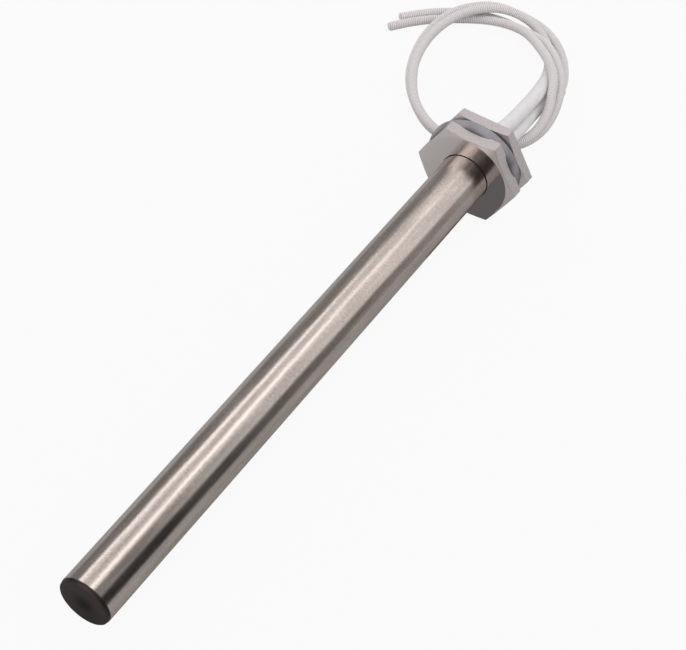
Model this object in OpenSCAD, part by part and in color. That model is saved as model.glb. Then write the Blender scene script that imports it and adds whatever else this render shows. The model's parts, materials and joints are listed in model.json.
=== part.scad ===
// Cartridge heater with a hexagon fitting, gasket and lock nut, and two sleeved leads.
// It lies on the tip's lower rim and on the gasket, with +X along the heater towards the leads.

/* [Sheath] */
// Outer diameter of the sheath tube
tube_d = 15.9; // [14:0.1:18]
// Wall thickness of the sheath tube
tube_wall = 1; // [0.6:0.1:1.4]
// Length of sheath from the tip to the front face of the fitting
reach = 189.2; // [120:0.2:400]
// Bevel round the rims of the sheath and the end disc at the tip
tip_bevel = 0.3; // [0.1:0.1:0.5]
// Thickness of the end disc, with the plug inside the sheath
end_disc_t = 2.8; // [1.8:0.1:4]
// Thickness of the end disc's flange over the rim of the sheath
end_flange_t = 0.8; // [0.6:0.1:1.2]
// Step of that flange inside the sheath's radius
end_step = 0.2; // [0.16:0.02:0.3]
// Depth of the open mouth behind the seal
mouth_depth = 2; // [0.5:0.5:4]

/* [Fitting] */
// Width across the flats of the fitting's head and of the lock nut
hex_af = 30; // [27:0.5:36]
// Thickness of the fitting's head
head_t = 4.6; // [3:0.1:10]
// Thickness of the lock nut
nut_t = 3.9; // [3:0.1:10]
// Diameter of the flat face inside the corner chamfer
chamfer_face_d = 29; // [26:0.5:29]
// Angle of the corner chamfer to the face
chamfer_angle = 18; // [10:1:30]
// Wall of the spigot round the sheath
spigot_wall = 2.35; // [1.5:0.05:3]
// Length of spigot that stands out behind the lock nut
spigot_proud = 1.5; // [1:0.1:8]
// Bevel at the end of the spigot
spigot_bevel = 0.8; // [0.2:0.1:1.2]

/* [Gasket] */
// Thickness of the squeezed gasket
gasket_t = 3.3; // [2:0.1:5]
// Height of the gasket's rim above the flats
gasket_bulge = 1.4; // [0.5:0.1:2.2]
// Reach of the squeezed lip over the head's flats
gasket_lip = 0.8; // [0.2:0.1:1.5]

/* [Heating core] */
// Diameter of the resistance wire
wire_d = 0.7; // [0.4:0.1:1]
// Pitch of the winding
wire_pitch = 4; // [3:0.1:8]
// Wall of packed magnesia between the winding and the sheath
fill_wall = 0.7; // [0.4:0.1:1]
// Thickness of the spacer behind the end disc
spacer_t = 5; // [3:0.5:10]
// Diameter of the terminal pins
pin_d = 2; // [1.4:0.1:2.4]
// Depth of the slots for the winding's legs
slot_depth = 1.2; // [1.2:0.1:3]
// Length of the rear insulator
insulator_l = 16; // [13:0.5:30]
// Length of the end seal
seal_l = 10; // [5:0.5:15]
// Outer diameter of the crimp ferrules
crimp_d = 3.2; // [2.8:0.1:3.6]
// Length of the crimp ferrules
crimp_l = 10; // [6:0.5:12]

/* [Leads] */
// Outer diameter of each lead
lead_d = 3.2; // [2.4:0.1:3.3]
// Diameter of the bare conductor in each lead
conductor_d = 1.6; // [1:0.1:1.9]
// Outer diameter of each sleeve
sleeve_d = 4.8; // [4.4:0.1:4.9]
// Bore of each sleeve
sleeve_bore = 3.7; // [3.6:0.1:4]
// Turn of the pins and leads about the axis, from side by side to one above the other
lead_turn = 70; // [60:5:80]

/* [Clearances] */
// Radial gap between the sheath and the fitting's bore at its front face
fitting_gap = 0.15; // [0.05:0.05:0.2]
// Relief of the sheath's radius inside the fitting
seat_relief = 0.2; // [0.16:0.02:0.3]
// Length of that relief in front of the fitting
neck_l = 0.3; // [0.1:0.1:0.6]
// Radial gap of the gasket and the lock nut on the spigot
spigot_gap = 0.1; // [0.05:0.05:0.3]
// Radial gap of the pieces packed in the sheath
pack_gap = 0.05; // [0.02:0.01:0.2]
// Gap between the ends of the pieces stacked in the sheath
stack_gap = 0.02; // [0.01:0.01:0.1]
// Gap of the wire, pins, crimps and conductors in their holes
hole_gap = 0.1; // [0.05:0.05:0.2]
// Gap between the two sleeves where they leave the seal
sleeve_gap = 0.2; // [0.1:0.1:1]

/* [Hidden] */
CORE_COUNT = 6;
$fn = 96;
eps = 0.01;

// Stations along the axis, from the tip
head_x = reach;
gasket_x = head_x + head_t;
nut_x = gasket_x + gasket_t;
tube_l = nut_x + nut_t + spigot_proud;
sheath_x = end_flange_t + stack_gap;
rim_x = sheath_x + tip_bevel;
spacer_x = end_disc_t;
cores_x = spacer_x + spacer_t;
seat_x = tube_l - mouth_depth;
seal_x = seat_x - seal_l;
insulator_x = seal_x - insulator_l;
core_l = (insulator_x - cores_x) / CORE_COUNT;
crimp_x = insulator_x + (insulator_l - crimp_l) / 2;
crimp_mid_x = crimp_x + crimp_l / 2;

// Radii
tube_r = tube_d / 2;
flange_r = tube_r - end_step;
bore_r = tube_r - tube_wall;
packed_r = bore_r - pack_gap;
spigot_r = tube_r + fitting_gap + spigot_wall;
hex_corner_r = hex_af / 2 / cos(30);
gasket_r = hex_af / 2 + gasket_bulge;
fill_bore_r = packed_r - fill_wall;
coil_sides = 12;
coil_r = fill_bore_r - hole_gap - wire_d / 2;
core_r = coil_r * cos(180 / coil_sides) - hole_gap - wire_d / 2;
wire_offset = (sleeve_d + sleeve_gap) / 2;

// Rest pose: the sheath's front rim and the gasket's rim both touch the ground
gasket_mid_x = gasket_x + gasket_t / 2;
tilt = atan((gasket_r - tube_r) / (gasket_mid_x - rim_x));
rear_x = tube_l * cos(tilt) + (spigot_r - spigot_bevel) * sin(tilt);
front_x = -(flange_r - tip_bevel) * sin(tilt);
centre_x = (rear_x + front_x) / 2;
mouth_x = tube_l * cos(tilt) - centre_x;
rest_z = tube_r * cos(tilt) - rim_x * sin(tilt);

// Routes of the leads on the ground: X from the mouth of the fitting, Y, and height above the ground
route_1 = [
    [13.5, 0.5, 17.75], [22.5, 1.5, 15], [32.5, 3, 12], [43, 4.5, 9], [52, 6.25, 6.5],
    [59.5, 8.25, 4.5], [67.5, 11.5, 2.75], [75.75, 17, 1.75], [81.75, 26, 3.75], [80.75, 36, 5.75],
    [76, 42.25, 6.75], [69, 47.25, 6.75], [61, 50, 6.5], [52.5, 51, 5.75], [44, 50, 5.25],
    [35.5, 47.5, 5.25], [28, 43.5, 5.25], [20.5, 38.5, 5.25], [15, 32, 5], [11.5, 25, 5],
    [10.5, 17, 5], [13, 9, 5], [18, 2.5, 5], [24.5, -2, 5], [31.5, -3, 5.75],
    [39, -2.25, 7.5], [45.5, 0.5, 9], [51, 2.75, 10.75], [57, 7.25, 10.25], [62.5, 12.5, 9.25],
    [67.75, 18.5, 7.75], [72.75, 25, 6.25], [75, 33, 4.5], [74, 41.5, 3], [70.5, 49.25, 1.75],
    [65.25, 56.25, 1.75], [58.5, 62.5, 1.75], [51.5, 67, 1.75]
];
route_2 = [
    [14, -0.75, 12.5], [22.5, 0.25, 10], [31, 1.75, 7.25], [39.5, 3.25, 4.5], [48, 3.5, 2.75],
    [57, 1.75, 2.5], [65.5, 5.25, 1.75], [73.75, 10.5, 1.75], [80.25, 17.25, 1.75], [84.25, 25.5, 1.75],
    [84, 34.25, 2.75], [81, 41.75, 5], [74.5, 47.75, 5.5], [67.25, 52, 5.5], [58.75, 54, 3.75],
    [49.75, 53.5, 2.5], [41.5, 51.25, 1.75], [33, 47.5, 1.75], [25.5, 42, 1.75], [19.5, 35.5, 1.75],
    [14.5, 28.5, 1.75], [13, 20, 1.75], [14, 12, 1.75], [18.5, 5, 1.75], [26, -1, 1.75],
    [34.5, -3.25, 2.5], [42, -3, 4.75], [48.5, -1.25, 7], [56, 2.5, 8.25], [63, 8.25, 8.5],
    [70, 14.75, 6.75], [74.5, 22, 4.5], [77.25, 30, 2.5], [78.25, 38.5, 1.75], [76.25, 46.5, 1.75],
    [71.75, 54.5, 1.75], [65.75, 61, 1.75], [58.25, 66.75, 1.75]
];
// Straight run of each lead out of the seal, and the number of route points that each sleeve covers
stub_l = 8;
sleeve_1_points = 9;
sleeve_2_points = 8;
cord_sides = 8;
wire_sides = 5;
profile_steps = 24;

// Axis of the heater in the rest pose, the way from lead to lead, and a point on or beside the axis
axis_dir = [cos(tilt), 0, sin(tilt)];
lead_dir = [-sin(lead_turn) * sin(tilt), cos(lead_turn), sin(lead_turn) * cos(tilt)];
function at_station(x, offset) = [-centre_x, 0, rest_z] + x * axis_dir + offset * lead_dir;

// Lead path: seat, stub and route points, eased by a cubic spline's weights with both ends kept
function lead_points(route, offset) = concat(
    [at_station(seat_x, offset), at_station(seat_x + stub_l, offset)],
    [for (p = route) p + [mouth_x, 0, 0]]
);
function eased(p) = [
    for (i = [0:len(p) - 1])
        i == 0 || i == len(p) - 1 ? p[i] : (p[i - 1] + 4 * p[i] + p[i + 1]) / 6
];
function first_points(p, n) = [for (i = [0:n - 1]) p[i]];

// Rings of a swept tube: direction at each point, then a polygon square to it
function unit(v) = v / norm(v);
function heading(p, i) = unit(p[min(i + 1, len(p) - 1)] - p[max(i - 1, 0)]);
function ring(centre, dir, up, r, sides) =
    let (u = unit(cross(up, dir)), v = cross(dir, u))
    [for (k = [0:sides - 1]) centre + r * (cos(360 * k / sides) * u + sin(360 * k / sides) * v)];
function rings(path, up, r, sides, start_dir) = [
    for (i = [0:len(path) - 1])
        each ring(path[i], i == 0 ? start_dir : heading(path, i), up, r, sides)
];
function tube_sides(n, sides, first, flip) = [
    for (i = [0:n - 2], k = [0:sides - 1])
        let (a = first + i * sides, m = (k + 1) % sides)
        let (p = a + k, q = a + m, s = a + sides + m, t = a + sides + k)
        each flip ? [[p, q, s], [p, s, t]] : [[s, q, p], [t, s, p]]
];

module swept_rod(path, up, r, sides, start_dir) {
    n = len(path);
    last = (n - 1) * sides;
    polyhedron(
        rings(path, up, r, sides, start_dir),
        concat(
            [[for (k = [0:sides - 1]) k]],
            tube_sides(n, sides, 0, false),
            [[for (k = [sides - 1:-1:0]) last + k]]
        ),
        convexity = 20
    );
}

module swept_pipe(path, up, r, bore, sides, start_dir) {
    n = len(path);
    inner = n * sides;
    last = (n - 1) * sides;
    polyhedron(
        concat(rings(path, up, r, sides, start_dir), rings(path, up, bore, sides, start_dir)),
        concat(
            tube_sides(n, sides, 0, false),
            tube_sides(n, sides, inner, true),
            [
                for (k = [0:sides - 1])
                    let (m = (k + 1) % sides)
                    [k, m, inner + m, inner + k]
            ],
            [
                for (k = [0:sides - 1])
                    let (m = (k + 1) % sides)
                    [last + m, last + k, inner + last + k, inner + last + m]
            ]
        ),
        convexity = 20
    );
}

// Placing: pieces are drawn along +X from the tip, then laid in the rest pose
module at_rest() {
    translate([-centre_x, 0, rest_z]) rotate([0, -tilt, 0]) children();
}

// Pieces inside the sheath are drawn with the leads side by side, then turned with them
module in_sheath() {
    at_rest() rotate([lead_turn, 0, 0]) children();
}

module along(x) {
    translate([x, 0, 0]) rotate([0, 90, 0]) children();
}

module rod(x, l, r) {
    along(x) cylinder(r = r, h = l);
}

module off_axis(y) {
    translate([0, y, 0]) children();
}

module lead_holes(x, l, r) {
    for (y = [wire_offset, -wire_offset])
        off_axis(y) rod(x - eps, l + 2 * eps, r);
}

module hex_prism(x, l) {
    along(x) rotate([0, 0, 30]) cylinder(r = hex_corner_r, h = l, $fn = 6);
}

// Hexagon with its front corners turned to a shallow cone
module chamfered_hex(x, l) {
    face_r = chamfer_face_d / 2;
    rim_r = hex_corner_r + 1;
    cone_l = (rim_r - face_r) * tan(chamfer_angle);
    intersection() {
        hex_prism(x, l);
        along(x) rotate_extrude() polygon([[0, 0], [face_r, 0], [rim_r, cone_l], [rim_r, l], [0, l]]);
    }
}

// Sheath
module sheath_tube() {
    color("#a89e98") at_rest() along(0) rotate_extrude() polygon([
        [bore_r, sheath_x], [tube_r - tip_bevel, sheath_x], [tube_r, rim_x], [tube_r, head_x - neck_l],
        [tube_r - seat_relief, head_x - neck_l], [tube_r - seat_relief, tube_l], [bore_r, tube_l]
    ]);
}

module end_disc() {
    color("#5c5552") at_rest() along(0) rotate_extrude() polygon([
        [0, 0], [flange_r - tip_bevel, 0], [flange_r, tip_bevel], [flange_r, end_flange_t],
        [packed_r, end_flange_t], [packed_r, end_disc_t], [0, end_disc_t]
    ]);
}

module end_seal() {
    color("#d8d4cc") in_sheath() difference() {
        rod(seal_x, seal_l, packed_r);
        lead_holes(seal_x, seal_l, conductor_d / 2 + hole_gap);
    }
}

// Heating core
module tip_spacer() {
    color("#e6e2d8") at_rest() rod(spacer_x, spacer_t, packed_r);
}

module core_slot(x, side) {
    slot_w = wire_d + 2 * hole_gap;
    translate([x, side > 0 ? wire_offset : -core_r - eps, -slot_w / 2])
        cube([slot_depth + eps, core_r - wire_offset + eps, slot_w]);
}

module core_segment(i) {
    x = cores_x + (i - 1) * core_l;
    color("#efece2") in_sheath() difference() {
        rod(x, core_l - stack_gap, core_r);
        lead_holes(x, core_l, pin_d / 2 + hole_gap);
        if (i == 1) core_slot(cores_x - eps, 1);
        if (i == CORE_COUNT) core_slot(insulator_x - slot_depth, -1);
    }
}

module heating_coil() {
    leg_r = wire_offset + pin_d / 2 + wire_d / 2 + hole_gap;
    start_x = cores_x + slot_depth / 2;
    end_x = insulator_x - slot_depth / 2;
    turns = floor((end_x - start_x) / wire_pitch) + 0.5;
    steps = turns * coil_sides;
    path = concat(
        [[start_x, leg_r, 0]],
        [
            for (i = [0:steps])
                let (a = 360 * i / coil_sides)
                [start_x + (end_x - start_x) * i / steps, coil_r * cos(a), coil_r * sin(a)]
        ],
        [[end_x, -leg_r, 0]]
    );
    color("#8f8a80") in_sheath() swept_rod(path, [1, 0, 0], wire_d / 2, wire_sides, [0, 1, 0]);
}

module magnesia_fill() {
    color("#d9d5ca") at_rest() difference() {
        rod(cores_x, insulator_x - cores_x - stack_gap, packed_r);
        rod(cores_x - eps, insulator_x - cores_x + 2 * eps, fill_bore_r);
    }
}

module terminal_pin(side) {
    front_x = side > 0 ? cores_x : insulator_x - core_l;
    color("#b9b6ae") in_sheath() off_axis(side * wire_offset)
        rod(front_x, crimp_mid_x - stack_gap - front_x, pin_d / 2);
}

module crimp(side) {
    color("#c9a860") in_sheath() off_axis(side * wire_offset) difference() {
        rod(crimp_x, crimp_l, crimp_d / 2);
        rod(crimp_x - eps, crimp_l / 2 + eps, pin_d / 2 + hole_gap / 2);
        rod(crimp_mid_x - eps, crimp_l / 2 + 2 * eps, conductor_d / 2 + hole_gap / 2);
    }
}

module conductor(side) {
    color("#c8c4bc") in_sheath() off_axis(side * wire_offset)
        rod(crimp_mid_x, seat_x - crimp_mid_x, conductor_d / 2);
}

module rear_insulator() {
    color("#e9e4d6") in_sheath() difference() {
        rod(insulator_x, insulator_l, packed_r);
        lead_holes(insulator_x, insulator_l, crimp_d / 2 + hole_gap);
    }
}

// Fitting
module hex_fitting() {
    spigot_l = tube_l - gasket_x;
    color("#a59b98") at_rest() difference() {
        union() {
            chamfered_hex(head_x, head_t);
            along(gasket_x - eps) rotate_extrude() polygon([
                [0, 0], [spigot_r, 0], [spigot_r, spigot_l - spigot_bevel + eps],
                [spigot_r - spigot_bevel, spigot_l + eps], [0, spigot_l + eps]
            ]);
        }
        rod(head_x - eps, tube_l - head_x + 2 * eps, tube_r + fitting_gap);
    }
}

// The rim is half an ellipse that reaches over the head's flats as a thin lip
module gasket() {
    front_l = gasket_t / 2 + gasket_lip;
    base_r = hex_af / 2;
    rim = [
        for (i = [0:profile_steps])
            let (a = 180 * i / profile_steps, l = a < 90 ? front_l : gasket_t / 2)
            [base_r + gasket_bulge * sin(a), gasket_t / 2 - l * cos(a)]
    ];
    color("#91939a") at_rest() difference() {
        along(gasket_x) rotate_extrude() polygon(concat(
            [[spigot_r + spigot_gap, gasket_t], [spigot_r + spigot_gap, -gasket_lip]], rim
        ));
        hex_prism(head_x, head_t);
    }
}

module lock_nut() {
    color("#aba19e") at_rest() difference() {
        chamfered_hex(nut_x, nut_t);
        rod(nut_x - eps, nut_t + 2 * eps, spigot_r + spigot_gap);
    }
}

// Leads
module sleeve(route, side, points) {
    path = first_points(eased(lead_points(route, side * wire_offset)), points);
    color("#e4e2e2") swept_pipe(path, [0, 0, 1], sleeve_d / 2, sleeve_bore / 2, cord_sides, axis_dir);
}

module lead(route, side) {
    path = eased(lead_points(route, side * wire_offset));
    color("#d9d5d2") swept_rod(path, [0, 0, 1], lead_d / 2, cord_sides, axis_dir);
}

sheath_tube();
end_disc();
tip_spacer();
core_segment(1);  // core_1
core_segment(2);  // core_2
core_segment(3);  // core_3
core_segment(4);  // core_4
core_segment(5);  // core_5
core_segment(6);  // core_6
heating_coil();
magnesia_fill();
terminal_pin(1);  // terminal_pin_1
terminal_pin(-1);  // terminal_pin_2
crimp(1);  // crimp_1
crimp(-1);  // crimp_2
conductor(1);  // conductor_1
conductor(-1);  // conductor_2
rear_insulator();
end_seal();
hex_fitting();
gasket();
lock_nut();
sleeve(route_1, 1, sleeve_1_points);  // sleeve_1
sleeve(route_2, -1, sleeve_2_points);  // sleeve_2
lead(route_1, 1);  // lead_1
lead(route_2, -1);  // lead_2
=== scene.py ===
"""Cartridge heater with a hexagon fitting and two sleeved leads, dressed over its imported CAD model."""
import json
import math

import bpy
import numpy as np
from mathutils import Matrix, Vector


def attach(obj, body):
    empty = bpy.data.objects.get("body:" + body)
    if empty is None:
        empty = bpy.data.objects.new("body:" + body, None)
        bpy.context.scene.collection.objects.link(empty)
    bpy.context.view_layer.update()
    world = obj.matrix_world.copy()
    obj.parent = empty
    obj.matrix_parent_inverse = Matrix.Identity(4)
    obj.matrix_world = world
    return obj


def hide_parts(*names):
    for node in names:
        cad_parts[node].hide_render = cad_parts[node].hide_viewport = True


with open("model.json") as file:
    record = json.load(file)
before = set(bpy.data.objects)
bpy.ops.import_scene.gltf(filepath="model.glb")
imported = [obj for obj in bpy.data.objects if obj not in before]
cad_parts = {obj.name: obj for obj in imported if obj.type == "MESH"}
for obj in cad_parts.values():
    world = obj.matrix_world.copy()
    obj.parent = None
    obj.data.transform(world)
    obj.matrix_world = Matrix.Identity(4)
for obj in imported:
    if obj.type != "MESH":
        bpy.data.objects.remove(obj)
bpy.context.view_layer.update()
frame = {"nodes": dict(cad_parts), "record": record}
BODY = "root"

# Axis of the heater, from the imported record: the sheath's mount is its round wall
sheath_mount = frame["record"]["mounts"][0]
AXIS = -Vector(sheath_mount["axis"])
WALL_LENGTH = sheath_mount["dims"]["length_mm"] / 1000
RIM_STATION = 0.00112
TUBE_LENGTH = 0.2025
TIP = Vector(sheath_mount["pos_m"]) - AXIS * (WALL_LENGTH / 2 + RIM_STATION)
MOUTH = TIP + AXIS * TUBE_LENGTH
TILT = math.asin(AXIS.z)

# Camera, at the photograph's place for an image of 686 by 650
CAMERA_PLACE = Vector((-0.319693, -0.19219, 0.420459))
CAMERA_AZIMUTH = math.radians(-60.494)
CAMERA_ELEVATION = math.radians(46.634)
CAMERA_ROLL = math.radians(-4.941)
LENS = 102.388
SENSOR = 36

# Leads and sleeves
LEAD_DIAMETER = 0.0032
SLEEVE_DIAMETER = 0.0048
SLEEVE_BORE = 0.0037
LEAD_OFFSET = 0.0025
LEAD_TURN = math.radians(70)
LEAD_SIDE = Vector((-math.sin(LEAD_TURN) * AXIS.z, math.cos(LEAD_TURN), math.sin(LEAD_TURN) * AXIS.x))
MOUTH_DEPTH = 0.002
STUB = 0.008
SLEEVE_1_KNOTS = 8
SLEEVE_2_KNOTS = 7
# Route points from the mouth of the tube, measured along X, Y and up from the ground
ROUTE_1 = [
    (0.0135, 0.0005, 0.01775), (0.0225, 0.0015, 0.015), (0.0325, 0.003, 0.012),
    (0.043, 0.0045, 0.009), (0.052, 0.00625, 0.0065), (0.0595, 0.00825, 0.0045),
    (0.0675, 0.0115, 0.00275), (0.07575, 0.017, 0.00175), (0.08175, 0.026, 0.00375),
    (0.08075, 0.036, 0.00575), (0.076, 0.04225, 0.00675), (0.069, 0.04725, 0.00675),
    (0.061, 0.05, 0.0065), (0.0525, 0.051, 0.00575), (0.044, 0.05, 0.00525),
    (0.0355, 0.0475, 0.00525), (0.028, 0.0435, 0.00525), (0.0205, 0.0385, 0.00525),
    (0.015, 0.032, 0.005), (0.0115, 0.025, 0.005), (0.0105, 0.017, 0.005),
    (0.013, 0.009, 0.005), (0.018, 0.0025, 0.005), (0.0245, -0.002, 0.005),
    (0.0315, -0.003, 0.00575), (0.039, -0.00225, 0.0075), (0.0455, 0.0005, 0.009),
    (0.051, 0.00275, 0.01075), (0.057, 0.00725, 0.01025), (0.0625, 0.0125, 0.00925),
    (0.06775, 0.0185, 0.00775), (0.07275, 0.025, 0.00625), (0.075, 0.033, 0.0045),
    (0.074, 0.0415, 0.003), (0.0705, 0.04925, 0.00175), (0.06525, 0.05625, 0.00175),
    (0.0585, 0.0625, 0.00175), (0.0515, 0.067, 0.00175),
]
ROUTE_2 = [
    (0.014, -0.00075, 0.0125), (0.0225, 0.00025, 0.01), (0.031, 0.00175, 0.00725),
    (0.0395, 0.00325, 0.0045), (0.048, 0.0035, 0.00275), (0.057, 0.00175, 0.0025),
    (0.0655, 0.00525, 0.00175), (0.07375, 0.0105, 0.00175), (0.08025, 0.01725, 0.00175),
    (0.08425, 0.0255, 0.00175), (0.084, 0.03425, 0.00275), (0.081, 0.04175, 0.005),
    (0.0745, 0.04775, 0.0055), (0.06725, 0.052, 0.0055), (0.05875, 0.054, 0.00375),
    (0.04975, 0.0535, 0.0025), (0.0415, 0.05125, 0.00175), (0.033, 0.0475, 0.00175),
    (0.0255, 0.042, 0.00175), (0.0195, 0.0355, 0.00175), (0.0145, 0.0285, 0.00175),
    (0.013, 0.02, 0.00175), (0.014, 0.012, 0.00175), (0.0185, 0.005, 0.00175),
    (0.026, -0.001, 0.00175), (0.0345, -0.00325, 0.0025), (0.042, -0.003, 0.00475),
    (0.0485, -0.00125, 0.007), (0.056, 0.0025, 0.00825), (0.063, 0.00825, 0.0085),
    (0.07, 0.01475, 0.00675), (0.0745, 0.022, 0.0045), (0.07725, 0.03, 0.0025),
    (0.07825, 0.0385, 0.00175), (0.07625, 0.0465, 0.00175), (0.07175, 0.0545, 0.00175),
    (0.06575, 0.061, 0.00175), (0.05825, 0.06675, 0.00175),
]
SPLINE_STEPS = 24
RIB_PITCH = 0.00067
RIB_DEPTH = 0.0002
RINGS_PER_RIB = 6
LEAD_SIDES = 14
# Mesh attribute of a lead that says how deep in a groove a point lies, from 0 to 1
GROOVE = "groove"
# Share of the full radius at the last rings of a lead, from its cut end inwards
END_SHARES = (0.9, 0.97)
SLEEVE_SIDES = 28
SLEEVE_RING = 0.0006
SLEEVE_EDGE = 0.00012

# Gasket between the hexagons: its station, thickness, lip over the head's flats and bore, and the flats
GASKET_STATION = 0.1938
GASKET_THICKNESS = 0.0033
GASKET_LIP = 0.0008
GASKET_BORE = 0.01055
FLAT_RADIUS = 0.015
SIXTH_TURN = 60
# How far its rim stands out over the flats, by degrees about the axis from +Y: squeezed less on the -Y side
RIM_ANGLES = (0, 60, 90, 150, 185, 215, 240, 254, 290, 360)
RIM_HEIGHTS = (0.0014, 0.0014, 0.0013, 0.0008, 0.0002, 0.0001, 0.0009, 0.0014, 0.0014, 0.0014)
RIM_SMOOTHING = 8
GASKET_SIDES = 240
RIM_STEPS = 20

# Finishes and painted shade: the rounding of edges, the spacing of turning marks, and the places where a
# finish or a painted shade changes
EDGE_RADIUS = 0.00025
FITTING_MARKS = 0.00022
DISC_MARKS = 0.0003
RIM_SHADE_FADE = 0.0002
END_FACE_START = 0.75
END_FACE_FULL = 0.97
DISC_DARK_RADIUS = 0.0008
DISC_LIGHT_RADIUS = 0.005
GASKET_FULL_SHADE_RADIUS = 0.0152
GASKET_SHADE_END_RADIUS = 0.0161
WHITE = (1, 1, 1, 1)


def link(obj):
    bpy.context.scene.collection.objects.link(obj)
    return obj


# Camera

def make_camera():
    """The photograph's camera, turned by its azimuth, elevation and roll."""
    a, e = CAMERA_AZIMUTH, CAMERA_ELEVATION
    back = Vector((math.sin(a) * math.cos(e), -math.cos(a) * math.cos(e), math.sin(e)))
    level_right = (-back).cross(Vector((0, 0, 1))).normalized()
    level_down = (-back).cross(level_right)
    right = math.cos(CAMERA_ROLL) * level_right + math.sin(CAMERA_ROLL) * level_down
    up = math.sin(CAMERA_ROLL) * level_right - math.cos(CAMERA_ROLL) * level_down
    data = bpy.data.cameras.new("photo_camera")
    data.lens = LENS
    data.sensor_width = SENSOR
    camera = link(bpy.data.objects.new("photo_camera", data))
    turn = Matrix((right, up, back)).transposed().to_4x4()
    camera.matrix_world = Matrix.Translation(CAMERA_PLACE) @ turn
    bpy.context.scene.camera = camera


# Meshes of the cords and the gasket

def lead_points(route, side):
    """Control points of a lead: its seat on the seal, the end of its straight stub, and its route."""
    seat = MOUTH - AXIS * MOUTH_DEPTH + LEAD_SIDE * side * LEAD_OFFSET
    points = [seat, seat + AXIS * STUB]
    points += [Vector(p) + Vector((MOUTH.x, 0, 0)) for p in route]
    return np.array(points)


def spline(points, last_knot=None):
    """Points on the uniform cubic spline of the control points, up to a knot, with both ends kept."""
    c = np.vstack([2 * points[0] - points[1], points, 2 * points[-1] - points[-2]])
    last = len(points) - 1 if last_knot is None else last_knot
    u = np.linspace(0, last, last * SPLINE_STEPS + 1)
    i = np.minimum(u.astype(int), len(points) - 2)
    t = (u - i)[:, None]
    return (
        (1 - t) ** 3 * c[i]
        + (3 * t ** 3 - 6 * t ** 2 + 4) * c[i + 1]
        + (-3 * t ** 3 + 3 * t ** 2 + 3 * t + 1) * c[i + 2]
        + t ** 3 * c[i + 3]
    ) / 6


def even_path(path, step):
    """The same path at even spacing, and the distance along it of each point."""
    along = np.concatenate([[0], np.cumsum(np.linalg.norm(np.diff(path, axis=0), axis=1))])
    at = np.linspace(0, along[-1], max(2, round(along[-1] / step) + 1))
    return np.stack([np.interp(at, along, path[:, k]) for k in range(3)], 1), at


def carried_frames(path):
    """Two directions square to the path at each point, carried along it without twist."""
    ahead = np.gradient(path, axis=0)
    ahead /= np.linalg.norm(ahead, axis=1)[:, None]
    across = np.zeros_like(path)
    d = np.array([0.0, 0.0, 1.0])
    for i, t in enumerate(ahead):
        d = d - (d @ t) * t
        d /= np.linalg.norm(d)
        across[i] = d
    return across, np.cross(ahead, across)


def ring_points(path, radii):
    """One ring of points round each path point; radii holds a row for each ring, a value for each side."""
    across, beside = carried_frames(path)
    angle = np.linspace(0, 2 * math.pi, radii.shape[1], endpoint=False)
    return (
        path[:, None]
        + radii[..., None] * np.cos(angle)[None, :, None] * across[:, None]
        + radii[..., None] * np.sin(angle)[None, :, None] * beside[:, None]
    )


def mesh_object(name, points, faces, material):
    mesh = bpy.data.meshes.new(name)
    mesh.from_pydata(points.tolist(), [], faces)
    mesh.polygons.foreach_set("use_smooth", [True] * len(mesh.polygons))
    mesh.materials.append(material)
    mesh.update()
    return link(bpy.data.objects.new(name, mesh))


def ring_faces(rings, sides, closed=False):
    """Faces between each ring of points and the next, and from the last to the first if closed."""
    count = rings if closed else rings - 1
    return [
        (
            i * sides + k,
            i * sides + (k + 1) % sides,
            (i + 1) % rings * sides + (k + 1) % sides,
            (i + 1) % rings * sides + k,
        )
        for i in range(count)
        for k in range(sides)
    ]


def make_lead(name, path, material):
    """A lead whose braid stands in fine slanted ribs, with both ends cut square and a little rounded."""
    even, at = even_path(path, RIB_PITCH / RINGS_PER_RIB)
    angle = np.linspace(0, 2 * math.pi, LEAD_SIDES, endpoint=False)
    phase = 2 * math.pi * at[:, None] / RIB_PITCH + angle[None]
    groove = 0.5 - 0.5 * np.cos(phase)
    radii = LEAD_DIAMETER / 2 - RIB_DEPTH * groove
    for i, share in enumerate(END_SHARES):
        radii[[i, -1 - i]] *= share
    points = ring_points(even, radii).reshape(-1, 3)
    points = np.vstack([points, even[:1], even[-1:]])
    rings = len(even)
    first, last = rings * LEAD_SIDES, rings * LEAD_SIDES + 1
    tail = (rings - 1) * LEAD_SIDES
    faces = ring_faces(rings, LEAD_SIDES)
    faces += [(first, (k + 1) % LEAD_SIDES, k) for k in range(LEAD_SIDES)]
    faces += [(last, tail + k, tail + (k + 1) % LEAD_SIDES) for k in range(LEAD_SIDES)]
    lead = mesh_object(name, points, faces, material)
    depth = lead.data.attributes.new(GROOVE, "FLOAT", "POINT")
    depth.data.foreach_set("value", np.append(groove, (0, 0)).astype(np.float32))
    return lead


def make_sleeve(name, path, material):
    """A smooth sleeve with a real wall: out along its outside, over the cut end and back along its bore."""
    even, _ = even_path(path, SLEEVE_RING)
    outside = np.full((len(even), SLEEVE_SIDES), SLEEVE_DIAMETER / 2)
    outside[[0, -1]] -= SLEEVE_EDGE
    inside = np.full((len(even), SLEEVE_SIDES), SLEEVE_BORE / 2)
    points = np.vstack([ring_points(even, outside), ring_points(even, inside)[::-1]])
    faces = ring_faces(2 * len(even), SLEEVE_SIDES, closed=True)
    return mesh_object(name, points.reshape(-1, 3), faces, material)


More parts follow.
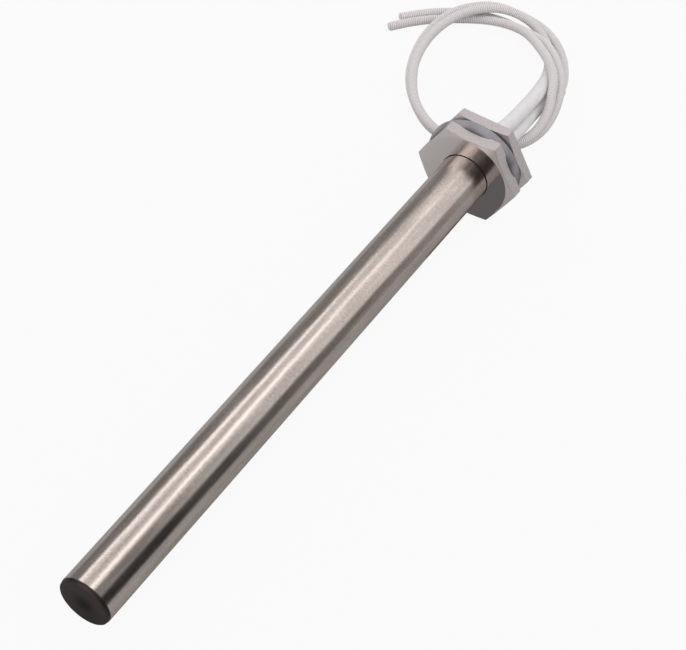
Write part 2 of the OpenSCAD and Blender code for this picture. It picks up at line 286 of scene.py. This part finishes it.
def make_gasket(name, material):
    """A ring whose rim is half an ellipse, with a thin lip over the middle of the head's flats."""
    turn = np.linspace(0, 360, GASKET_SIDES, endpoint=False)
    height = np.interp(turn, RIM_ANGLES, RIM_HEIGHTS)
    window = np.hanning(2 * RIM_SMOOTHING + 1)
    wrapped = np.concatenate([height[-RIM_SMOOTHING:], height, height[:RIM_SMOOTHING]])
    height = np.convolve(wrapped, window / window.sum(), "valid")
    flat = FLAT_RADIUS / np.cos(np.radians(turn % SIXTH_TURN - SIXTH_TURN / 2))
    half = GASKET_THICKNESS / 2
    head_angle = math.acos(half / (half + GASKET_LIP))
    over_flat = np.arcsin(np.clip((flat - FLAT_RADIUS) / height, 0, 1))
    start = np.minimum(over_flat, head_angle)
    rim = start[:, None] + (math.pi - start)[:, None] * np.linspace(0, 1, RIM_STEPS + 1)[None]
    radius = FLAT_RADIUS + height[:, None] * np.sin(rim)
    reach = np.where(rim < math.pi / 2, half + GASKET_LIP, half)
    station = half - reach * np.cos(rim)
    ring = np.ones((GASKET_SIDES, 1))
    radius = np.hstack([GASKET_BORE * ring, GASKET_BORE * ring, radius[:, :1], radius])
    station = GASKET_STATION + np.hstack([GASKET_THICKNESS * ring, 0 * ring, 0 * ring, station])
    axis, up = np.array(AXIS), np.array((-AXIS.z, 0, AXIS.x))
    out = np.cos(np.radians(turn))[:, None] * np.array((0, 1, 0)) + np.sin(np.radians(turn))[:, None] * up
    points = np.array(TIP) + station[..., None] * axis + radius[..., None] * out[:, None]
    faces = ring_faces(GASKET_SIDES, points.shape[1], closed=True)
    return mesh_object(name, points.reshape(-1, 3), faces, material)


# Materials

def node(tree, kind, inputs=None, **settings):
    """Adds a node; each input is a constant or the output socket that feeds it."""
    made = tree.nodes.new(kind)
    for key, value in settings.items():
        setattr(made, key, value)
    for key, value in (inputs or {}).items():
        if isinstance(value, bpy.types.NodeSocket):
            tree.links.new(value, made.inputs[key])
        else:
            made.inputs[key].default_value = value
    return made


def heater_place(tree, feature):
    """Position along and across the heater's own axis, in units of the feature's size along x, y and z."""
    where = node(tree, "ShaderNodeTexCoord")
    return node(
        tree, "ShaderNodeMapping",
        {"Vector": where.outputs["Object"], "Location": TIP, "Rotation": (0, -TILT, 0), "Scale": feature},
        vector_type="TEXTURE",
    ).outputs["Vector"]


def noise(tree, feature, detail=2.0):
    """Even noise whose grains are as large as the feature."""
    return node(
        tree, "ShaderNodeTexNoise",
        {"Vector": heater_place(tree, feature), "Scale": 1.0, "Detail": detail},
    ).outputs["Fac"]


def ramp(tree, factor, stops):
    """A colour ramp through (position, colour) stops."""
    made = node(tree, "ShaderNodeValToRGB", {"Fac": factor})
    band = made.color_ramp
    while len(band.elements) < len(stops):
        band.elements.new(0.5)
    for element, (place, colour) in zip(band.elements, stops):
        element.position = place
        element.color = (*colour, 1)
    return made.outputs["Color"]


def spread(tree, factor, low, high, start=0.3, end=0.7):
    """The factor's range from start to end, spread from low to high."""
    return node(
        tree, "ShaderNodeMapRange",
        {"Value": factor, "From Min": start, "From Max": end, "To Min": low, "To Max": high},
    ).outputs["Result"]


def bump(tree, height, depth, strength=1.0, base=None):
    """Fine relief over the surface's own normal, or over a base normal."""
    made = node(tree, "ShaderNodeBump", {"Height": height, "Distance": depth, "Strength": strength})
    if base is not None:
        tree.links.new(base, made.inputs["Normal"])
    return made.outputs["Normal"]


def new_material(name, **constants):
    """A material with its node tree and shader; the constants are set on the shader."""
    material = bpy.data.materials.new(name)
    material.use_nodes = True
    shader = material.node_tree.nodes["Principled BSDF"]
    for key, value in constants.items():
        shader.inputs[key.replace("_", " ")].default_value = value
    return material, material.node_tree, shader


def feed(tree, shader, **sockets):
    """Links each socket to the shader's input of that name."""
    for key, value in sockets.items():
        tree.links.new(value, shader.inputs[key.replace("_", " ")])


def sheath_steel():
    """Ground tube: fine lines round it, soft patches along it, and painted shade on its rim at the tip."""
    material, tree, shader = new_material(
        "sheath_steel", Metallic=1.0, Anisotropic=0.4, Anisotropic_Rotation=0.25
    )
    lines = noise(tree, (0.00025, 0.0011, 0.0011), 4.0)
    patches = noise(tree, (0.02, 0.002, 0.002), 3.0)
    both = node(tree, "ShaderNodeMath", {0: lines, 1: patches}, operation="ADD").outputs[0]
    half = node(tree, "ShaderNodeMath", {0: both, 1: 0.5}, operation="MULTIPLY").outputs[0]
    station = node(tree, "ShaderNodeSeparateXYZ", {0: heater_place(tree, (1, 1, 1))}).outputs["X"]
    past_shaded_rim = spread(tree, station, 0.0, 1.0, RIM_STATION, RIM_STATION + RIM_SHADE_FADE)
    ground = ramp(tree, half, [(0.4, (0.5, 0.435, 0.398)), (0.6, (0.68, 0.595, 0.548))])
    # Painted shade: up to the rim station the steel is coloured near black, for the shadow in the recess
    # round the disc
    tone = node(
        tree, "ShaderNodeMix",
        {"Factor": past_shaded_rim, "A": (0.06, 0.045, 0.04, 1), "B": ground},
        data_type="RGBA",
    ).outputs["Result"]
    feed(
        tree, shader,
        Base_Color=tone,
        Roughness=spread(tree, patches, 0.2, 0.26),
        Normal=bump(tree, lines, 0.00003, 0.35),
        Tangent=node(tree, "ShaderNodeTangent", direction_type="RADIAL", axis="X").outputs[0],
    )
    return material


def turned_radius(tree):
    """Distance from the heater's axis, in metres."""
    place = node(tree, "ShaderNodeSeparateXYZ", {0: heater_place(tree, (1, 1, 1))})
    flat = node(tree, "ShaderNodeCombineXYZ", {"Y": place.outputs["Y"], "Z": place.outputs["Z"]})
    return node(tree, "ShaderNodeVectorMath", {0: flat.outputs[0]}, operation="LENGTH").outputs["Value"]


def turning_marks(tree, pitch):
    """Fine rings round the axis, as a lathe leaves them."""
    scaled = {0: turned_radius(tree), 1: 1 / pitch}
    turns = node(tree, "ShaderNodeMath", scaled, operation="MULTIPLY").outputs[0]
    return node(
        tree, "ShaderNodeTexNoise", {"W": turns, "Scale": 1.0, "Detail": 2.0}, noise_dimensions="1D"
    ).outputs["Fac"]


def end_face(tree):
    """1 on faces square to the heater's axis, 0 on its sides."""
    normal = node(tree, "ShaderNodeNewGeometry").outputs["True Normal"]
    dot = node(tree, "ShaderNodeVectorMath", {0: normal, 1: AXIS}, operation="DOT_PRODUCT").outputs["Value"]
    size = node(tree, "ShaderNodeMath", {0: dot}, operation="ABSOLUTE").outputs[0]
    return spread(tree, size, 0.0, 1.0, END_FACE_START, END_FACE_FULL)


def fitting_steel():
    """Milled flats, turned end faces that mirror more, and edges that catch the light; the flats carry a
    darker copy of the steel's colour than the end faces, as painted shade.
    """
    material, tree, shader = new_material("fitting_steel", Metallic=1.0, Anisotropic=0.5)
    marks = turning_marks(tree, FITTING_MARKS)
    grain = noise(tree, (0.0012, 0.0002, 0.0002), 3.0)
    front = end_face(tree)
    rounded = node(tree, "ShaderNodeBevel", {"Radius": EDGE_RADIUS}).outputs[0]
    # Painted light and shade: the flats take a darker copy of the steel colour, the end faces a lighter one
    flat_shaded_tone = ramp(tree, grain, [(0.3, (0.6, 0.55, 0.545)), (0.7, (0.78, 0.72, 0.715))])
    end_face_lit_tone = ramp(tree, marks, [(0.3, (0.78, 0.715, 0.7)), (0.7, (0.9, 0.83, 0.815))])
    texture = node(
        tree, "ShaderNodeMix", {"Factor": front, "A": grain, "B": marks}, data_type="FLOAT"
    ).outputs["Result"]
    tone = node(
        tree, "ShaderNodeMix", {"Factor": front, "A": flat_shaded_tone, "B": end_face_lit_tone}, data_type="RGBA"
    ).outputs["Result"]
    feed(
        tree, shader,
        Base_Color=tone,
        Roughness=spread(tree, front, 0.55, 0.15, 0.0, 1.0),
        Normal=bump(tree, texture, 0.00003, 0.2, rounded),
        Tangent=node(tree, "ShaderNodeTangent", direction_type="RADIAL", axis="X").outputs[0],
    )
    return material


def disc_steel():
    """Dull dark disc, darkest in the middle, with turning marks."""
    material, tree, shader = new_material("disc_steel", Metallic=1.0)
    marks = turning_marks(tree, DISC_MARKS)
    stain = noise(tree, (0.004, 0.004, 0.004), 3.0)
    middle = spread(tree, turned_radius(tree), 0.0, 1.0, DISC_DARK_RADIUS, DISC_LIGHT_RADIUS)
    mixed = node(tree, "ShaderNodeMath", {0: middle, 1: stain}, operation="MULTIPLY").outputs[0]
    feed(
        tree, shader,
        Base_Color=ramp(tree, mixed, [(0.0, (0.012, 0.01, 0.01)), (0.5, (0.075, 0.06, 0.056))]),
        Roughness=spread(tree, stain, 0.45, 0.6),
        Normal=bump(tree, marks, 0.00003, 0.3),
    )
    return material


def gasket_rubber():
    """Smooth grey rubber, with painted shade at the foot of its rim, where it meets the hexagons."""
    material, tree, shader = new_material("gasket_rubber", Specular_IOR_Level=0.35)
    cloud = noise(tree, (0.005, 0.005, 0.005), 3.0)
    fine = noise(tree, (0.0003, 0.0003, 0.0003), 2.0)
    # Painted shade: darker towards the foot of the rim, in the crevice against the hexagons
    rim = spread(tree, turned_radius(tree), 0.35, 1.0, GASKET_FULL_SHADE_RADIUS, GASKET_SHADE_END_RADIUS)
    tone = node(tree, "ShaderNodeMath", {0: rim, 1: cloud}, operation="MULTIPLY").outputs[0]
    stops = [(0.1, (0.09, 0.087, 0.092)), (0.4, (0.315, 0.305, 0.328)), (0.7, (0.39, 0.378, 0.405))]
    feed(
        tree, shader,
        Base_Color=ramp(tree, tone, stops),
        Roughness=spread(tree, fine, 0.48, 0.62),
        Normal=bump(tree, fine, 0.00003, 0.25),
    )
    return material


def lead_braid():
    """Glass fibre braid, with painted shade in the grooves between its ribs."""
    material, tree, shader = new_material("lead_braid", Specular_IOR_Level=0.3)
    fibre = noise(tree, (0.0004, 0.0004, 0.0004), 4.0)
    groove = node(tree, "ShaderNodeAttribute", attribute_name=GROOVE).outputs["Fac"]
    crest = ramp(tree, fibre, [(0.3, (0.88, 0.84, 0.835)), (0.7, (0.97, 0.935, 0.93))])
    # Painted shade: the braid is coloured darker the deeper a point lies in a groove
    tone = node(
        tree, "ShaderNodeMix",
        {"Factor": spread(tree, groove, 0.0, 1.0, 0.4, 1.0), "A": crest, "B": (0.56, 0.51, 0.505, 1)},
        data_type="RGBA",
    ).outputs["Result"]
    feed(
        tree, shader,
        Base_Color=tone,
        Roughness=spread(tree, fibre, 0.75, 0.9),
        Normal=bump(tree, fibre, 0.00005, 0.5),
    )
    return material


def grainy(name, dark, light, roughness, feature, depth, **constants):
    """A matt or drawn material with colour, roughness and fine relief from one noise."""
    material, tree, shader = new_material(name, **constants)
    cloud = noise(tree, feature, 4.0)
    feed(
        tree, shader,
        Base_Color=ramp(tree, cloud, [(0.3, dark), (0.7, light)]),
        Roughness=spread(tree, cloud, *roughness),
        Normal=bump(tree, cloud, depth, 0.5),
    )
    return material


# Lights, floor and background

FLOOR_HALF = 4.0
FLOOR_GREY = 0.54
FLOOR_GLOW_CAMERA = 0.93
FLOOR_GLOW_MIRROR = 0.04
WORLD_DIFFUSE = 0.8
STRIP_LENGTH = 0.46
STRIP_WIDTH = 0.16
STRIP_DISTANCE = 0.8
STRIP_MIDDLE_X = 0.34
# Angle of each strip up from +Y and its slant to the heater, in degrees, and its radiance
STRIPS = ((51, 40, 1.3), (96.5, -10, 1.06))


def seen_by(tree, *kinds):
    """1 for the named kinds of ray, else 0."""
    path = node(tree, "ShaderNodeLightPath")
    total = path.outputs[kinds[0]]
    for kind in kinds[1:]:
        either = {0: total, 1: path.outputs[kind]}
        total = node(tree, "ShaderNodeMath", either, operation="MAXIMUM").outputs[0]
    return total


def make_world():
    """White round about, a little dimmer as light on matt surfaces."""
    world = bpy.data.worlds.new("studio")
    world.use_nodes = True
    tree = world.node_tree
    plain = seen_by(tree, "Is Camera Ray", "Is Glossy Ray", "Is Transmission Ray")
    back = tree.nodes["Background"]
    back.inputs["Color"].default_value = WHITE
    tree.links.new(spread(tree, plain, WORLD_DIFFUSE, 1.0, 0.0, 1.0), back.inputs["Strength"])
    bpy.context.scene.world = world


def make_floor():
    """A grey floor that the camera sees as nearly white, with the object's shadow."""
    material = bpy.data.materials.new("floor")
    material.use_nodes = True
    tree = material.node_tree
    tree.nodes.remove(tree.nodes["Principled BSDF"])
    direct = spread(tree, seen_by(tree, "Is Camera Ray"), 0.0, FLOOR_GLOW_CAMERA, 0.0, 1.0)
    bounced = seen_by(tree, "Is Glossy Ray", "Is Transmission Ray")
    mirrored = spread(tree, bounced, 0.0, FLOOR_GLOW_MIRROR, 0.0, 1.0)
    glow = node(tree, "ShaderNodeMath", {0: direct, 1: mirrored}, operation="ADD").outputs[0]
    grey = (FLOOR_GREY, FLOOR_GREY, FLOOR_GREY, 1)
    paper = node(tree, "ShaderNodeBsdfDiffuse", {"Color": grey}).outputs[0]
    white = node(tree, "ShaderNodeEmission", {"Color": WHITE, "Strength": 1.0}).outputs[0]
    mixed = node(tree, "ShaderNodeMixShader", {0: glow, 1: paper, 2: white}).outputs[0]
    tree.links.new(mixed, tree.nodes["Material Output"].inputs["Surface"])
    h = FLOOR_HALF
    corners = np.array([(-h, -h, 0), (h, -h, 0), (h, h, 0), (-h, h, 0)])
    mesh_object("floor", corners, [(0, 1, 2, 3)], material)


def make_strip(angle, slant, radiance):
    """A long lamp beside the heater, at an angle up from +Y, slanted to the heater's own direction."""
    out = Vector((0, math.cos(angle), math.sin(angle)))
    raised = Vector((0, -math.sin(angle), math.cos(angle)))
    along = math.cos(slant) * Vector((1, 0, 0)) + math.sin(slant) * raised
    lamp = bpy.data.lights.new("strip", "AREA")
    lamp.shape = "RECTANGLE"
    lamp.size = STRIP_LENGTH
    lamp.size_y = STRIP_WIDTH
    lamp.energy = radiance * math.pi * STRIP_LENGTH * STRIP_WIDTH
    strip = link(bpy.data.objects.new("strip", lamp))
    turn = Matrix((along, out.cross(along), out)).transposed().to_4x4()
    strip.matrix_world = Matrix.Translation(Vector((STRIP_MIDDLE_X, 0, TIP.z)) + out * STRIP_DISTANCE) @ turn


# Cards of the studio, seen only in the metal, and one dark card on the floor under the head that is a
# painted shadow: the middle of the card, two half edges, its greys, and the X where the first grey ends and
# the second begins
CARDS = (
    ("card_right", (0.0, -0.35, -0.223), (0.45, 0, -0.15), (0, 0, 0.5), (0.015, 0.5), (0.1, 0.45)),
    ("card_low", (-0.15, -0.215, 0.001), (0.35, 0, 0), (0, 0.135, 0), (0.03, 0.36), (-0.03, 0.17)),
    ("card_high", (0.0, -0.787, 0.906), (1.2, 0, 0), (0, 0.312, 0.271), (0.15, 1.0), (0.48, 0.62)),
    ("card_top", (0.0, 0.31, 1.159), (1.2, 0, 0), (0, -0.184, 0.049), (0.72, 1.0), (0.6, 0.95)),
    ("card_left", (0.2, 0.35, -0.212), (0.7, 0, 0.41), (0, 0, 0.6), (0.23, 0.32), (0.1, 0.45)),
    ("card_behind", (-0.6, -0.384, 0.5), (0, -0.46, -0.353), (0, -0.134, 0.174), (0.02,)),
    # Painted shadow: a dark card on the floor under the head, seen only in the metal
    ("card_under", (0.078, -0.005, 0.0005), (0.014, 0, 0), (0, 0.007, 0), (0.12,)),
)


def make_card(name, middle, along, up, greys, change=None):
    """A card of one grey, or of two with an even change between them."""
    material = bpy.data.materials.new(name)
    material.use_nodes = True
    tree = material.node_tree
    tree.nodes.remove(tree.nodes["Principled BSDF"])
    shade = node(tree, "ShaderNodeEmission", {"Color": WHITE, "Strength": greys[0]})
    if change:
        where = node(tree, "ShaderNodeTexCoord").outputs["Object"]
        place = node(tree, "ShaderNodeSeparateXYZ", {0: where}).outputs["X"]
        tree.links.new(spread(tree, place, *greys, *change), shade.inputs["Strength"])
    tree.links.new(shade.outputs[0], tree.nodes["Material Output"].inputs["Surface"])
    middle, along, up = np.array(middle), np.array(along), np.array(up)
    corners = np.array([middle - along - up, middle + along - up, middle + along + up, middle - along + up])
    card = mesh_object(name, corners, [(0, 1, 2, 3)], material)
    card.visible_camera = False
    card.visible_diffuse = False
    card.visible_shadow = False


# The object

make_camera()

braid_material = lead_braid()
sleeve_white = grainy(
    "sleeve_white", dark=(0.84, 0.82, 0.825), light=(0.92, 0.9, 0.905), roughness=(0.42, 0.55),
    feature=(0.006, 0.0012, 0.0012), depth=0.00003, Specular_IOR_Level=0.4,
)
for number, route, side, knots in ((1, ROUTE_1, 1, SLEEVE_1_KNOTS), (2, ROUTE_2, -1, SLEEVE_2_KNOTS)):
    control = lead_points(route, side)
    path = spline(control)
    lead = make_lead(f"lead_{number}_braid", path, braid_material)
    sleeve = make_sleeve(f"sleeve_{number}_tube", spline(control, knots), sleeve_white)
    for piece, cad_node, slot in (
        (lead, f"lead_{number}", "lead_braid"), (sleeve, f"sleeve_{number}", "sleeve_white")
    ):
        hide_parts(cad_node)
        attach(piece, BODY)

gasket = make_gasket("gasket_ring", gasket_rubber())
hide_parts("gasket")
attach(gasket, BODY)

# Material of each record slot, put on the CAD nodes that stay
MATERIALS = {
    "sheath_steel": sheath_steel(),
    "disc_steel": disc_steel(),
    "fitting_steel": fitting_steel(),
    "magnesia": grainy(
        "magnesia", dark=(0.7, 0.67, 0.58), light=(0.82, 0.79, 0.7), roughness=(0.8, 0.95),
        feature=(0.0006, 0.0006, 0.0006), depth=0.00006,
    ),
    "packed_magnesia": grainy(
        "packed_magnesia", dark=(0.6, 0.57, 0.49), light=(0.74, 0.71, 0.62), roughness=(0.85, 1.0),
        feature=(0.0004, 0.0004, 0.0004), depth=0.0001,
    ),
    "insulator_ceramic": grainy(
        "insulator_ceramic", dark=(0.74, 0.69, 0.58), light=(0.84, 0.8, 0.7), roughness=(0.55, 0.75),
        feature=(0.001, 0.001, 0.001), depth=0.00004,
    ),
    "resistance_wire": grainy(
        "resistance_wire", dark=(0.17, 0.155, 0.13), light=(0.27, 0.25, 0.21), roughness=(0.35, 0.5),
        feature=(0.0003, 0.0006, 0.0006), depth=0.00002, Metallic=1.0,
    ),
    "nickel": grainy(
        "nickel", dark=(0.4, 0.37, 0.31), light=(0.5, 0.47, 0.4), roughness=(0.28, 0.4),
        feature=(0.003, 0.0002, 0.0002), depth=0.00002, Metallic=1.0,
    ),
    "crimp_brass": grainy(
        "crimp_brass", dark=(0.5, 0.33, 0.09), light=(0.62, 0.43, 0.14), roughness=(0.3, 0.45),
        feature=(0.001, 0.0004, 0.0004), depth=0.00003, Metallic=1.0,
    ),
    "seal_compound": grainy(
        "seal_compound", dark=(0.6, 0.57, 0.51), light=(0.72, 0.69, 0.63), roughness=(0.7, 0.9),
        feature=(0.0008, 0.0008, 0.0008), depth=0.00008,
    ),
}
for part in frame["record"]["subparts"]:
    slot = part["material_slot"]
    if slot in MATERIALS:
        data = frame["nodes"][part["node"]].data
        data.materials.clear()
        data.materials.append(MATERIALS[slot])

make_world()
make_floor()
for angle, slant, radiance in STRIPS:
    make_strip(math.radians(angle), math.radians(slant), radiance)
for card in CARDS:
    make_card(*card)
bpy.context.scene.view_settings.view_transform = "Standard"
